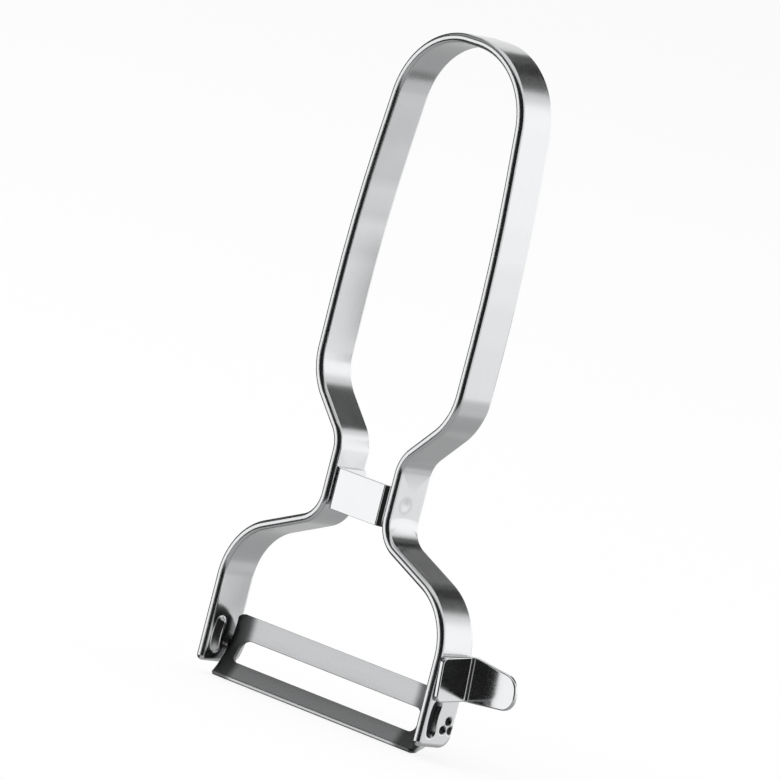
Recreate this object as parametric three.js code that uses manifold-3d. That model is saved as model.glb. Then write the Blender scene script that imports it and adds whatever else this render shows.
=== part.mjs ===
// A vegetable peeler with a swivelling blade, made of bent and stamped stainless steel.
// X runs across the peeler, Y from its front to its back, Z up along the handle. Millimetres.
// It hangs by its loop: the origin is where a hook bears on the inside of the loop's top.

import * as THREE from 'three';
import { mergeVertices } from 'three/addons/utils/BufferGeometryUtils.js';
import Module from 'manifold-3d';

const wasm = await Module();
wasm.setup();

// Strip that the handle is bent from
const STRIP_WIDTH = 9;
const STRIP_THICKNESS = 1.9;
const RIM_ROUNDING = 0.6;
const LEG_END_FRONT_ROUNDING = 0.9;
const LEG_END_BACK_ROUNDING = 2.8;

// Line of the handle along the middle of the strip: widths across, heights above the leg ends
const TOP_HEIGHT = 130;
const TOP_WIDTH = 30.5;
const TOP_RADIUS = 15.2;
const BOW_HEIGHT = 91;
const BOW_WIDTH = 38;
const BOW_RADIUS = 297;
const HIP_HEIGHT = 60.4;
const HIP_WIDTH = 37.6;
const HIP_RADIUS = 12.2;
const WAIST_WIDTH = 17;
const WAIST_TOP = 50.1;
const WAIST_TOP_RADIUS = 6.5;
const WAIST_BOTTOM = 34.7;
const WAIST_BOTTOM_RADIUS = 6.3;
const SHOULDER_HEIGHT = 25.8;
const SHOULDER_RADIUS = 13;
const LEG_SPAN = 59.8;

// Bridge that ties the two sides together at the waist
const BRIDGE_THICKNESS = 1;
const BRIDGE_HEIGHT = 8;
const BRIDGE_CENTRE_HEIGHT = 40.6;
const BRIDGE_BEND_RADIUS = 1.8;
const BRIDGE_FRONT_RECESS = 0.2;
const BRIDGE_BACK_SETBACK = 0.9;

// Pivot in each leg
const PIVOT_HEIGHT = 4.2;
const PIVOT_FROM_BACK = 2.1;
const PIN_DIAMETER = 2;
const COLLAR_DIAMETER = 3.2;
const PIN_PROUD = 0.35;
const PIN_CHAMFER = 0.3;
const STAKE_CIRCLE = 2.6;
const STAKE_WIDTH = 1.7;
const STAKE_DEPTH = 0.5;
const STAKE_COUNT = 3;

// Stop pressed inwards from each leg, in front of the pivot
const STOP_FORWARD = 4.3;
const STOP_RISE = 1.3;
const STOP_LENGTH = 6.8;
const STOP_WIDTH = 1.8;
const STOP_CURVE = 12;
const STOP_HEIGHT = 1.2;
const STOP_RECESS = 0.9;
const STOP_ROUNDING = 0.3;

// Blade, measured along its chord from the cutting edge and square to it
const BLADE_THICKNESS = 0.8;
const BLADE_WIDTH = 13.1;
const BLADE_ARCH = 1.25;
const BLADE_LEAN = THREE.MathUtils.degToRad(17);
const BLADE_EDGE_TO_PIVOT = 7.3;
const BLADE_TO_PIVOT = 1.55;
const EDGE_BEVEL = 0.5;
const EDGE_LAND = 0.3;
const FRONT_BAR = 3.8;
const BACK_BAR = 4.45;
const SLOT_END_WEB = 2.5;
const SLOT_ROUNDING = 1.5;
const EAR_RADIUS = 2.2;
const EAR_TIP_SETBACK = 0.7;
const EAR_FLARE = THREE.MathUtils.degToRad(60);

// Eye remover on the outside of the right leg
const EYE_THICKNESS = 1;
const EYE_HEIGHT = 8.8;
const EYE_CENTRE_HEIGHT = 13.7;
const EYE_FRONT_SETBACK = 0.5;
const EYE_BEND_RADIUS = 0.9;
const EYE_TONGUE_SETBACK = 0.5;
const EYE_REACH = 11;
const EYE_TIP_RADIUS = 3.2;
const EYE_CORNER = 0.8;
const EYE_TILT = THREE.MathUtils.degToRad(5.5);

// Clearances
const WELD_GAP = 0.1;
const PIN_CLEARANCE = 0.2;
const COLLAR_CLEARANCE = 0.2;
const COLLAR_THICKNESS = 0.5;

// Finish of the curves
const LEAST_STRAIGHT = 0.5;
const ARC_STEP = THREE.MathUtils.degToRad(9);
const ARC_SIDES = 6;
const ROUND_SIDES = 24;
const STAKE_SIDES = 10;
const BLADE_ARC_POINTS = 7;
const RIM_STEPS = 2;
const CUT_OVERRUN = 1;
const MERGE_DISTANCE = 1e-4;

// Steel of each piece
const STRIP_STEEL = { color: 0xc9ccce, roughness: 0.18 };
const BRIDGE_STEEL = { color: 0xd2d4d6, roughness: 0.14 };
const EYE_STEEL = { color: 0xd0d2d4, roughness: 0.1 };
const BLADE_STEEL = { color: 0xa9adb0, roughness: 0.22 };
const PIN_STEEL = { color: 0xb4b7ba, roughness: 0.25 };

// Places worked out from the sizes above
const LEG_MIDDLE = LEG_SPAN / 2;
const LEG_INSIDE = LEG_MIDDLE - STRIP_THICKNESS / 2;
const LEG_OUTSIDE = LEG_MIDDLE + STRIP_THICKNESS / 2;
const HANG_HEIGHT = TOP_HEIGHT - STRIP_THICKNESS / 2;
const PIVOT_Y = STRIP_WIDTH / 2 - PIVOT_FROM_BACK;
const EAR_OUTSIDE = LEG_INSIDE - COLLAR_THICKNESS - 2 * COLLAR_CLEARANCE;
const EAR_INSIDE = EAR_OUTSIDE - BLADE_THICKNESS;
const BAR_END = EAR_OUTSIDE - BLADE_THICKNESS / 2;
const PIN_HOLE_RADIUS = PIN_DIAMETER / 2 + PIN_CLEARANCE;

// Turn a shape drawn in (Y, Z) and extruded along its third axis into a solid along X.
const ALONG_X = new THREE.Matrix4().makeBasis(
  new THREE.Vector3(0, 1, 0),
  new THREE.Vector3(0, 0, 1),
  new THREE.Vector3(1, 0, 0),
);
// The same for a shape drawn in (X, Z) and extruded along Y, towards the front.
const ALONG_Y = new THREE.Matrix4().makeBasis(
  new THREE.Vector3(1, 0, 0),
  new THREE.Vector3(0, 0, 1),
  new THREE.Vector3(0, -1, 0),
);

function extrude(shape, depth, rounding = 0) {
  return new THREE.ExtrudeGeometry(shape, {
    depth: depth - 2 * rounding,
    bevelEnabled: rounding > 0,
    bevelThickness: rounding,
    bevelSize: rounding,
    bevelOffset: -rounding,
    bevelSegments: RIM_STEPS,
    curveSegments: ARC_SIDES,
  }).translate(0, 0, rounding);
}

function extrudeX(shape, from, to, rounding = 0) {
  return extrude(shape, to - from, rounding).applyMatrix4(ALONG_X).translate(from, 0, 0);
}

function extrudeY(shape, front, back, rounding = 0) {
  return extrude(shape, back - front, rounding).applyMatrix4(ALONG_Y).translate(0, back, 0);
}

function cylinderX(radius, from, to, y = 0, z = 0) {
  const geometry = new THREE.CylinderGeometry(radius, radius, to - from, ROUND_SIDES);
  return geometry.rotateZ(Math.PI / 2).translate((from + to) / 2, y, z);
}

function solid(geometry) {
  const bare = geometry.clone();
  bare.deleteAttribute('normal');
  bare.deleteAttribute('uv');
  const merged = mergeVertices(bare, MERGE_DISTANCE);
  return new wasm.Manifold(new wasm.Mesh({
    numProp: 3,
    vertProperties: new Float32Array(merged.attributes.position.array),
    triVerts: new Uint32Array(merged.index.array),
  }));
}

function geometryOf(body) {
  const { vertProperties, triVerts } = body.getMesh();
  const geometry = new THREE.BufferGeometry();
  geometry.setAttribute('position', new THREE.BufferAttribute(vertProperties, 3));
  geometry.setIndex(new THREE.BufferAttribute(triVerts, 1));
  const faceted = geometry.toNonIndexed();
  faceted.computeVertexNormals();
  return faceted;
}

function piece(name, body, steel) {
  const material = new THREE.MeshStandardMaterial({ ...steel, metalness: 1 });
  const mesh = new THREE.Mesh(geometryOf(body), material);
  mesh.name = name;
  return mesh;
}

function shapeOf(points) {
  return new THREE.Shape(points.map(([a, b]) => new THREE.Vector2(a, b)));
}

// Points of a line through corners, each rounded to its radius, with the normal on the line's left.
// Two roundings that would meet on the straight between them are both held back to fit on it.
function roundedLine(corners) {
  const leftOf = (direction) => new THREE.Vector2(-direction.y, direction.x);
  const straights = corners.slice(1).map(({ at }, i) => at.clone().sub(corners[i].at));
  const directions = straights.map((straight) => straight.clone().normalize());
  const bends = corners.slice(1, -1).map(({ at, radius }, i) => {
    const turn = Math.atan2(directions[i].cross(directions[i + 1]), directions[i].dot(directions[i + 1]));
    return { at, radius, turn, tangent: radius * Math.tan(Math.abs(turn) / 2) };
  });
  const tangentOf = (i) => (bends[i] ? bends[i].tangent : 0);
  const fits = straights.map((straight, i) => {
    const taken = tangentOf(i - 1) + tangentOf(i);
    return Math.min(1, (straight.length() - LEAST_STRAIGHT) / taken);
  });

  const line = [{ point: corners[0].at, normal: leftOf(directions[0]) }];
  bends.forEach(({ at, radius, turn, tangent }, i) => {
    const fit = Math.min(fits[i], fits[i + 1]);
    const before = directions[i];
    const start = at.clone().addScaledVector(before, -tangent * fit);
    const side = Math.sign(turn);
    const centre = start.clone().addScaledVector(leftOf(before), side * radius * fit);
    const steps = Math.max(2, Math.ceil(Math.abs(turn) / ARC_STEP));
    for (let step = 0; step <= steps; step += 1) {
      const normal = leftOf(before).rotateAround(new THREE.Vector2(), (turn * step) / steps);
      line.push({ point: centre.clone().addScaledVector(normal, -side * radius * fit), normal });
    }
  });
  line.push({ point: corners.at(-1).at, normal: leftOf(directions.at(-1)) });
  return line;
}

// Half of the handle's line, from the middle of the loop's top down to the end of the right leg
function handleLine() {
  const corner = (x, z, radius) => ({ at: new THREE.Vector2(x, z), radius });
  const half = roundedLine([
    corner(0, TOP_HEIGHT),
    corner(TOP_WIDTH / 2, TOP_HEIGHT, TOP_RADIUS),
    corner(BOW_WIDTH / 2, BOW_HEIGHT, BOW_RADIUS),
    corner(HIP_WIDTH / 2, HIP_HEIGHT, HIP_RADIUS),
    corner(WAIST_WIDTH / 2, WAIST_TOP, WAIST_TOP_RADIUS),
    corner(WAIST_WIDTH / 2, WAIST_BOTTOM, WAIST_BOTTOM_RADIUS),
    corner(LEG_MIDDLE, SHOULDER_HEIGHT, SHOULDER_RADIUS),
    corner(LEG_MIDDLE, 0),
  ]);
  const mirrored = half.slice(1).reverse().map(({ point, normal }) => ({
    point: new THREE.Vector2(-point.x, point.y),
    normal: new THREE.Vector2(-normal.x, normal.y),
  }));
  return [...mirrored, ...half];
}

function stripShape() {
  const line = handleLine();
  const face = (offset) => line.map(({ point, normal }) => point.clone().addScaledVector(normal, offset));
  const outside = face(STRIP_THICKNESS / 2);
  const inside = face(-STRIP_THICKNESS / 2);
  return new THREE.Shape([...outside, ...inside.reverse()]);
}

// What the rounded ends of both legs lose, seen from the side
function legEndWaste() {
  const rim = STRIP_WIDTH / 2;
  const front = LEG_END_FRONT_ROUNDING;
  const back = LEG_END_BACK_ROUNDING;
  const shape = new THREE.Shape();
  shape.moveTo(-rim - CUT_OVERRUN, -CUT_OVERRUN);
  shape.lineTo(rim + CUT_OVERRUN, -CUT_OVERRUN);
  shape.lineTo(rim + CUT_OVERRUN, back);
  shape.lineTo(rim, back);
  shape.absarc(rim - back, back, back, 0, -Math.PI / 2, true);
  shape.lineTo(front - rim, 0);
  shape.absarc(front - rim, front, front, -Math.PI / 2, -Math.PI, true);
  shape.lineTo(-rim - CUT_OVERRUN, front);
  return solid(extrudeX(shape, -LEG_OUTSIDE - CUT_OVERRUN, LEG_OUTSIDE + CUT_OVERRUN));
}

// Kidney outline of a stop, curved about a point on the pivot's side of it
function stopShape() {
  const middle = new THREE.Vector2(PIVOT_Y - STOP_FORWARD + STOP_CURVE, PIVOT_HEIGHT + STOP_RISE);
  const half = STOP_WIDTH / 2;
  const sweep = (STOP_LENGTH - STOP_WIDTH) / 2 / STOP_CURVE;
  const end = (angle) => new THREE.Vector2(
    middle.x + STOP_CURVE * Math.cos(angle),
    middle.y + STOP_CURVE * Math.sin(angle),
  );
  const top = end(Math.PI - sweep);
  const bottom = end(Math.PI + sweep);
  const shape = new THREE.Shape();
  shape.absarc(middle.x, middle.y, STOP_CURVE + half, Math.PI - sweep, Math.PI + sweep, false);
  shape.absarc(bottom.x, bottom.y, half, Math.PI + sweep, 2 * Math.PI + sweep, false);
  shape.absarc(middle.x, middle.y, STOP_CURVE - half, Math.PI + sweep, Math.PI - sweep, true);
  shape.absarc(top.x, top.y, half, -sweep, Math.PI - sweep, false);
  return shape;
}

// Extrude a side shape on one side of the peeler, between two distances from its middle.
function extrudeOnSide(side, shape, near, far, rounding = 0) {
  return side > 0 ? extrudeX(shape, near, far, rounding) : extrudeX(shape, -far, -near, rounding);
}

// Three round punch marks that lock a pin in the leg's outer face
function stakeMarks(side) {
  const radius = (STAKE_WIDTH ** 2 / 4 + STAKE_DEPTH ** 2) / (2 * STAKE_DEPTH);
  const x = side * (LEG_OUTSIDE - STAKE_DEPTH + radius);
  const marks = [];
  for (let i = 0; i < STAKE_COUNT; i += 1) {
    const angle = Math.PI / 2 + (2 * Math.PI * i) / STAKE_COUNT;
    const y = PIVOT_Y + (STAKE_CIRCLE / 2) * Math.cos(angle);
    const z = PIVOT_HEIGHT + (STAKE_CIRCLE / 2) * Math.sin(angle);
    const ball = new THREE.SphereGeometry(radius, STAKE_SIDES, STAKE_SIDES);
    marks.push(solid(ball.translate(x, y, z)));
  }
  return marks;
}

function handleStrip() {
  let body = solid(extrudeY(stripShape(), -STRIP_WIDTH / 2, STRIP_WIDTH / 2, RIM_ROUNDING));
  body = body.subtract(legEndWaste());
  const overall = LEG_OUTSIDE + CUT_OVERRUN;
  const hole = cylinderX(PIN_HOLE_RADIUS, -overall, overall, PIVOT_Y, PIVOT_HEIGHT);
  body = body.subtract(solid(hole));
  for (const side of [-1, 1]) {
    const stop = stopShape();
    const root = LEG_INSIDE + STRIP_THICKNESS - STOP_RECESS - STOP_ROUNDING;
    body = body.add(solid(extrudeOnSide(side, stop, LEG_INSIDE - STOP_HEIGHT, root, STOP_ROUNDING)));
    const recess = extrudeOnSide(side, stop, LEG_OUTSIDE - STOP_RECESS, LEG_OUTSIDE + CUT_OVERRUN);
    body = body.subtract(solid(recess));
    for (const mark of stakeMarks(side)) {
      body = body.subtract(mark);
    }
  }
  return piece('handle_strip', body, STRIP_STEEL);
}

// Channel of sheet steel: a front plate, two bends and two flanges welded to the waist
function waistBridge() {
  const outer = WAIST_WIDTH / 2 - STRIP_THICKNESS / 2 - WELD_GAP;
  const inner = outer - BRIDGE_THICKNESS;
  const front = -STRIP_WIDTH / 2 + BRIDGE_FRONT_RECESS;
  const back = STRIP_WIDTH / 2 - BRIDGE_BACK_SETBACK;
  const bend = front + BRIDGE_BEND_RADIUS;
  const bendCentre = outer - BRIDGE_BEND_RADIUS;
  const insideRadius = BRIDGE_BEND_RADIUS - BRIDGE_THICKNESS;
  const shape = new THREE.Shape();
  shape.moveTo(-outer, back);
  shape.lineTo(-outer, bend);
  shape.absarc(-bendCentre, bend, BRIDGE_BEND_RADIUS, Math.PI, 1.5 * Math.PI, false);
  shape.absarc(bendCentre, bend, BRIDGE_BEND_RADIUS, -Math.PI / 2, 0, false);
  shape.lineTo(outer, back);
  shape.lineTo(inner, back);
  shape.absarc(bendCentre, bend, insideRadius, 0, -Math.PI / 2, true);
  shape.absarc(-bendCentre, bend, insideRadius, 1.5 * Math.PI, Math.PI, true);
  shape.lineTo(-inner, back);
  const bottom = BRIDGE_CENTRE_HEIGHT - BRIDGE_HEIGHT / 2;
  const channel = extrude(shape, BRIDGE_HEIGHT).translate(0, 0, bottom);
  return piece('waist_bridge', solid(channel), BRIDGE_STEEL);
}

// Blade section: chord positions become heights from the pivot, and the arch is hollow to the front.
const ARCH_RADIUS = (BLADE_WIDTH ** 2 / 4 + BLADE_ARCH ** 2) / (2 * BLADE_ARCH);

function bladePoint(chord, offset) {
  const height = chord - BLADE_WIDTH / 2;
  const radius = ARCH_RADIUS + offset;
  const middle = -ARCH_RADIUS - BLADE_TO_PIVOT;
  return [middle + Math.sqrt(radius ** 2 - height ** 2), chord - BLADE_EDGE_TO_PIVOT];
}

function bladeFace(from, to, offset) {
  const points = [];
  for (let i = 0; i < BLADE_ARC_POINTS; i += 1) {
    points.push(bladePoint(from + ((to - from) * i) / (BLADE_ARC_POINTS - 1), offset));
  }
  return points;
}

function bladeSection() {
  const half = BLADE_THICKNESS / 2;
  const front = bladeFace(EDGE_BEVEL, BLADE_WIDTH, -half);
  const back = bladeFace(BLADE_WIDTH, 0, half);
  return shapeOf([...front, ...back, bladePoint(0, half - EDGE_LAND)]);
}

// Opening between the two bars, which the peel comes through
function slotShape() {
  const end = EAR_INSIDE - SLOT_END_WEB;
  const low = FRONT_BAR - BLADE_EDGE_TO_PIVOT;
  const high = BLADE_WIDTH - BACK_BAR - BLADE_EDGE_TO_PIVOT;
  const corner = SLOT_ROUNDING;
  const shape = new THREE.Shape();
  shape.absarc(end - corner, low + corner, corner, -Math.PI / 2, 0, false);
  shape.absarc(end - corner, high - corner, corner, 0, Math.PI / 2, false);
  shape.absarc(corner - end, high - corner, corner, Math.PI / 2, Math.PI, false);
  shape.absarc(corner - end, low + corner, corner, Math.PI, 1.5 * Math.PI, false);
  return shape;
}

// Ear that turns on the pin: its front follows the blade's arch, and its back tapers to the pivot.
function earShape() {
  const front = bladeFace(BLADE_WIDTH - EAR_TIP_SETBACK, EAR_TIP_SETBACK, 0);
  const [highTip, lowTip] = [front.at(0), front.at(-1)];
  const lowAngle = Math.atan2(lowTip[1], lowTip[0]);
  const highAngle = Math.atan2(highTip[1], highTip[0]);
  const shape = shapeOf(front);
  shape.absarc(0, 0, EAR_RADIUS, lowAngle + EAR_FLARE, highAngle - EAR_FLARE, false);
  return shape;
}

function swivelBlade() {
  let body = solid(extrudeX(bladeSection(), -BAR_END, BAR_END));
  const reach = BLADE_WIDTH;
  body = body.subtract(solid(extrudeY(slotShape(), -reach, reach)));
  for (const side of [-1, 1]) {
    body = body.add(solid(extrudeOnSide(side, earShape(), EAR_INSIDE, EAR_OUTSIDE)));
  }
  const hole = cylinderX(PIN_HOLE_RADIUS, -LEG_INSIDE, LEG_INSIDE);
  const blade = piece('swivel_blade', body.subtract(solid(hole)), BLADE_STEEL);
  blade.position.set(0, PIVOT_Y, PIVOT_HEIGHT);
  blade.rotation.x = -BLADE_LEAN;
  return blade;
}

// Shouldered pin: a tenon for the ear, a collar against the leg, and a shank staked in the leg
function pivotPin(name, side) {
  const tenonEnd = EAR_INSIDE - PIN_PROUD;
  const collarNear = EAR_OUTSIDE + COLLAR_CLEARANCE;
  const collarFar = LEG_INSIDE - COLLAR_CLEARANCE;
  const radius = PIN_DIAMETER / 2;
  const profile = [
    [0, tenonEnd],
    [radius - PIN_CHAMFER, tenonEnd],
    [radius, tenonEnd + PIN_CHAMFER],
    [radius, collarNear],
    [COLLAR_DIAMETER / 2, collarNear],
    [COLLAR_DIAMETER / 2, collarFar],
    [radius, collarFar],
    [radius, LEG_OUTSIDE],
    [0, LEG_OUTSIDE],
  ];
  const points = profile.map(([r, along]) => new THREE.Vector2(r, along));
  const lathe = new THREE.LatheGeometry(points, ROUND_SIDES);
  let body = solid(lathe.rotateZ((-side * Math.PI) / 2).translate(0, PIVOT_Y, PIVOT_HEIGHT));
  for (const mark of stakeMarks(side)) {
    body = body.subtract(mark);
  }
  return piece(name, body, PIN_STEEL);
}

// Angle of sheet steel: a plate welded to the leg, and a tongue that stands out to dig with
function eyeRemover() {
  const plateInside = LEG_OUTSIDE + WELD_GAP;
  const plateOutside = plateInside + EYE_THICKNESS;
  const front = -STRIP_WIDTH / 2 + EYE_FRONT_SETBACK;
  const tongue = STRIP_WIDTH / 2 - EYE_TONGUE_SETBACK;
  const bendX = plateOutside + EYE_BEND_RADIUS;
  const bendY = tongue - EYE_BEND_RADIUS;
  const tip = bendX + EYE_REACH;
  const angle = new THREE.Shape();
  angle.moveTo(plateInside, front);
  angle.lineTo(plateOutside, front);
  angle.absarc(bendX, bendY, EYE_BEND_RADIUS, Math.PI, Math.PI / 2, true);
  angle.lineTo(tip, tongue);
  angle.lineTo(tip, tongue + EYE_THICKNESS);
  angle.absarc(bendX, bendY, EYE_BEND_RADIUS + EYE_THICKNESS, Math.PI / 2, Math.PI, false);
  const half = EYE_HEIGHT / 2;
  let body = solid(extrude(angle, EYE_HEIGHT).translate(0, 0, -half));

  const tipCentre = tip - EYE_TIP_RADIUS;
  const blank = new THREE.Shape();
  blank.moveTo(plateInside - CUT_OVERRUN, -half - CUT_OVERRUN);
  blank.lineTo(bendX, -half - CUT_OVERRUN);
  blank.lineTo(bendX, -half);
  blank.absarc(tipCentre, 0, EYE_TIP_RADIUS, -Math.PI / 2, Math.PI / 2, false);
  blank.lineTo(bendX, half);
  blank.lineTo(bendX, half + CUT_OVERRUN);
  blank.lineTo(plateInside - CUT_OVERRUN, half + CUT_OVERRUN);
  const reach = tongue + EYE_THICKNESS + CUT_OVERRUN;
  body = body.intersect(solid(extrudeY(blank, front - CUT_OVERRUN, reach)));

  const plate = new THREE.Shape();
  plate.moveTo(reach, half);
  plate.lineTo(front + EYE_CORNER, half);
  plate.absarc(front + EYE_CORNER, half - EYE_CORNER, EYE_CORNER, Math.PI / 2, Math.PI, false);
  plate.absarc(front + EYE_CORNER, EYE_CORNER - half, EYE_CORNER, Math.PI, 1.5 * Math.PI, false);
  plate.lineTo(reach, -half);
  body = body.intersect(solid(extrudeX(plate, plateInside - CUT_OVERRUN, tip + CUT_OVERRUN)));

  const mesh = piece('eye_remover', body, EYE_STEEL);
  mesh.position.z = EYE_CENTRE_HEIGHT;
  mesh.rotation.x = EYE_TILT;
  return mesh;
}

const peeler = new THREE.Group();
peeler.name = 'peeler';
peeler.add(handleStrip());
peeler.add(waistBridge());
peeler.add(eyeRemover());
peeler.add(swivelBlade());
peeler.add(pivotPin('pivot_pin_left', -1));
peeler.add(pivotPin('pivot_pin_right', 1));
peeler.position.z = -HANG_HEIGHT;

export default peeler;
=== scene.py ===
"""A vegetable peeler of bent steel strip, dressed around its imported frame. Metres."""
import math

import bpy
import numpy as np
from mathutils import Matrix, Vector
from mathutils.geometry import delaunay_2d_cdt


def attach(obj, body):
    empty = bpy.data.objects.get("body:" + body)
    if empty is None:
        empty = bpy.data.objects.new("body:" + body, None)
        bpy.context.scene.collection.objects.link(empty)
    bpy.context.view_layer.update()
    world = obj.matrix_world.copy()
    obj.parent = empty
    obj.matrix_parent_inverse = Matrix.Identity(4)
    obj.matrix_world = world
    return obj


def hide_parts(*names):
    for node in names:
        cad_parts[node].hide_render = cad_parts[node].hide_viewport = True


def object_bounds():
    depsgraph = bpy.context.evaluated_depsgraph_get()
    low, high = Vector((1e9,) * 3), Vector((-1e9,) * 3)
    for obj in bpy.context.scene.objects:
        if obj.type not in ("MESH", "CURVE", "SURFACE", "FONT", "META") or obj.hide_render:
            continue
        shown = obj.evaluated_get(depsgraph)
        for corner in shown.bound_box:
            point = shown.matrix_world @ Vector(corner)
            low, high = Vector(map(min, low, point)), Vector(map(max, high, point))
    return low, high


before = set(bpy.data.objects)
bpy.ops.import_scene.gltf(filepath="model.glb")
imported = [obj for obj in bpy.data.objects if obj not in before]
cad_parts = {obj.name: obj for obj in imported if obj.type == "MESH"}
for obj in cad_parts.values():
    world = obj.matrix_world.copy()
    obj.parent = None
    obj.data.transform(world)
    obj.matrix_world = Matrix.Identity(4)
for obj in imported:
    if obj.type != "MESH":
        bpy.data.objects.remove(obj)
cad_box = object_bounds()

# Handle strip
# One strip of stainless steel, cut with round ends and tumbled until its rims are round, then bent
# into the loop, the waist and the two legs. A stop is pressed inwards near each end, the pins are
# staked by three punch marks, and the spot welds of the bridge have left a dimple at the waist.
MM = 0.001
STRIP_WIDTH = 9 * MM
STRIP_THICKNESS = 1.9 * MM
RIM_ROUNDING = 0.88 * MM
LEG_END_FRONT = 1.1 * MM
LEG_END_BACK = 2.8 * MM
TOP_HEIGHT = 130 * MM
LEG_MIDDLE = 29.9 * MM
WAIST_MIDDLE = 8.5 * MM
LEG_ENDS = STRIP_THICKNESS / 2 - TOP_HEIGHT
LEG_INSIDE = LEG_MIDDLE - STRIP_THICKNESS / 2
LEG_OUTSIDE = LEG_MIDDLE + STRIP_THICKNESS / 2
# The bends of one side, from the top down: distance from the middle, height above the leg ends, and
# bend radius, all on the middle of the strip's thickness.
SIDE_BENDS = (
    (15.25 * MM, TOP_HEIGHT, 15.2 * MM),
    (19.0 * MM, 91.0 * MM, 297 * MM),
    (18.8 * MM, 60.4 * MM, 12.2 * MM),
    (WAIST_MIDDLE, 50.1 * MM, 6.5 * MM),
    (WAIST_MIDDLE, 34.7 * MM, 6.3 * MM),
    (LEG_MIDDLE, 25.8 * MM, 13 * MM),
)
PIVOT_Y = 2.4 * MM
PIVOT_HEIGHT = 4.2 * MM
PIN_RADIUS = 1.0 * MM
PRESS_FIT = 0.02 * MM
STAKE_CIRCLE = 2.4 * MM
STAKE_WIDTH = 1.8 * MM
STAKE_DEPTH = 0.5 * MM
STAKE_COUNT = 3
STOP_FORWARD = 4.3 * MM
STOP_RISE = 1.3 * MM
STOP_LENGTH = 6.8 * MM
STOP_WIDTH = 1.8 * MM
STOP_CURVE = 12 * MM
STOP_HEIGHT = 1.2 * MM
STOP_RECESS = 0.9 * MM
RECESS_CORE = 0.6 * MM
RECESS_BRIM = 1.3 * MM
BUMP_CORE = 0.1 * MM
BUMP_BRIM = 1.35 * MM
WELD_HEIGHT = 41.6 * MM
WELD_Y = -0.8 * MM
WELD_RADIUS = 1.5 * MM
WELD_RING = 0.35 * MM
WELD_SCORCH = 0.12
WELD_DEPTH = 0.05 * MM
WELD_REACH = WELD_RADIUS + 3 * WELD_RING
# The mesh: the length of leg that gets the fine grid, the grid's step, the step and the turn in
# degrees between points along the strip, and the sides and edge rounding of a punched hole.
PRESSED_LENGTH = 13 * MM
FINE_STEP = 0.15 * MM
STRIP_STEP = 1.5 * MM
STRIP_TURN = 1.5
HOLE_SIDES = 48
HOLE_EDGE = 0.05 * MM
# Edges rounded by more than this get more rows. Beside every rounding lies a narrow flat row, which
# keeps its shading off the sheet. A grid keeps clear of the rims, and a column of the corners, by a
# share of the step. Spots closer than the last value, in millimetres, are one spot.
WIDE_ROUNDING = 0.2 * MM
WIDE_ROWS = 6
NARROW_ROWS = 3
FLAT_ROW = 0.03 * MM
RIM_CLEARANCE = 0.45
COLUMN_CLEARANCE = 0.1
SAME_SPOT = 1e-7
# The steel's patterns: a dark colour, which is painted shade in hollows and before the blade's ears
# and a scorch round the welds, a cloudy bloom, a grain, and how far the last two move the
# roughness.
SHADE_AND_SCORCH_COLOUR = "#2B2C2E"
SHADE_AND_SCORCH_ROUGHNESS = 0.2
BLOOM_SIZE = 8 * MM
BLOOM_DETAIL = 4.0
GRAIN_DETAIL = 3.0
GRAIN_STRENGTH = 0.15
PATTERN_LOW, PATTERN_HIGH = 0.6, 1.4
SMOOTHEST, ROUGHEST = 0.8, 1.25


def rounded(corners, closed=True, arc_step=5.0):
    """Points of a line through corners (a, b, radius), each corner turned into an arc."""
    points = []
    spots = [np.array(corner[:2]) for corner in corners]
    for i, (_, _, radius) in enumerate(corners):
        if not closed and i in (0, len(corners) - 1):
            points.append(spots[i])
            continue
        before = spots[i] - spots[i - 1]
        after = spots[(i + 1) % len(spots)] - spots[i]
        before = before / np.linalg.norm(before)
        after = after / np.linalg.norm(after)
        turn = math.atan2(before[0] * after[1] - before[1] * after[0], before @ after)
        start = spots[i] - before * radius * math.tan(abs(turn) / 2)
        inwards = np.array((-before[1], before[0])) * math.copysign(radius, turn)
        steps = max(2, math.ceil(abs(math.degrees(turn)) / arc_step))
        for step in range(steps + 1):
            c, s = math.cos(turn * step / steps), math.sin(turn * step / steps)
            swung = np.array((c * inwards[0] - s * inwards[1], s * inwards[0] + c * inwards[1]))
            points.append(start + inwards - swung)
    return np.array(points)


def divided(points, spacing, columns=(), closed=True):
    """The same line with its long straights divided, at the columns where it runs along them."""
    out = []
    for i in range(len(points) if closed else len(points) - 1):
        here, there = points[i], points[(i + 1) % len(points)]
        run = there - here
        size = np.linalg.norm(run)
        out.append(here)
        if len(columns) and abs(run[0]) > abs(run[1]) and size > 2 * spacing:
            shares = [(c - here[0]) / run[0] for c in columns]
            margin = COLUMN_CLEARANCE * spacing / size
            shares = sorted(s for s in shares if margin < s < 1 - margin)
        else:
            parts = math.ceil(size / spacing)
            shares = [k / parts for k in range(1, parts)]
        out.extend(here + run * share for share in shares)
    if not closed:
        out.append(points[-1])
    return np.array(out)


def marks_of(points):
    """How far along an open line each of its points is."""
    return np.concatenate(([0.0], np.cumsum(np.linalg.norm(np.diff(points, axis=0), axis=1))))


def hole(along, across, radius):
    """Points round a hole, clockwise."""
    turns = np.linspace(0, -2 * math.pi, HOLE_SIDES, endpoint=False)
    return np.stack((along + radius * np.cos(turns), across + radius * np.sin(turns)), axis=1)


def inside_of(spots, loops):
    """Which spots lie in the sheet: inside the outline and outside the holes."""
    inside = np.zeros(len(spots), bool)
    for loop in loops:
        for (ax, ay), (bx, by) in zip(loop, np.roll(loop, -1, axis=0)):
            if ay != by:
                cuts = (ay > spots[:, 1]) != (by > spots[:, 1])
                inside ^= cuts & (spots[:, 0] < ax + (spots[:, 1] - ay) * (bx - ax) / (by - ay))
    return inside


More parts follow.
